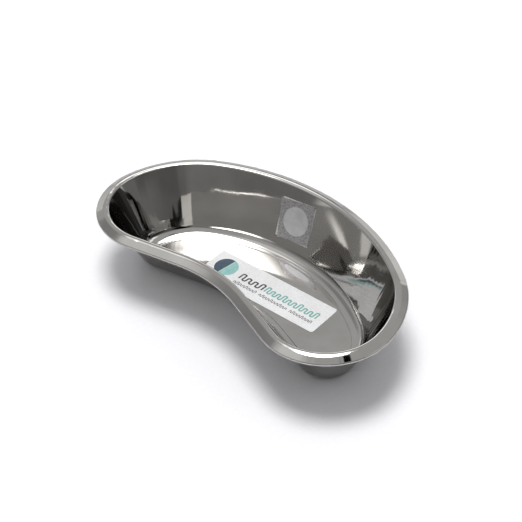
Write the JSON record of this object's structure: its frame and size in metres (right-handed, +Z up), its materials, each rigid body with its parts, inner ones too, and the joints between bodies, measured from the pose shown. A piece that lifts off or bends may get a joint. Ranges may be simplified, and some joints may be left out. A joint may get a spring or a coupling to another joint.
{
  "type": "kidney dish",
  "caption": "Polished stainless steel kidney dish with sloping walls, a rolled rim and a shallow stepped floor, with a film label on the floor and a foil sticker on the wall.",
  "frame": {"origin": "centre of the overall box, on the surface that the dish stands on", "axes": "+X along the dish, +Y to its convex back, +Z up out of its mouth"},
  "size_m": [0.25, 0.1346, 0.046],
  "materials": {
    "steel": "polished stainless steel, nearly mirror bright",
    "label_film": "white printed film, satin",
    "adhesive": "clear adhesive layer",
    "foil": "silver foil, satin"
  },
  "bodies": {
    "root": {"dish": "steel", "floor_label": "label_film", "floor_label_adhesive": "adhesive", "wall_sticker": "foil", "wall_sticker_adhesive": "adhesive"}
  },
  "joints": []
}
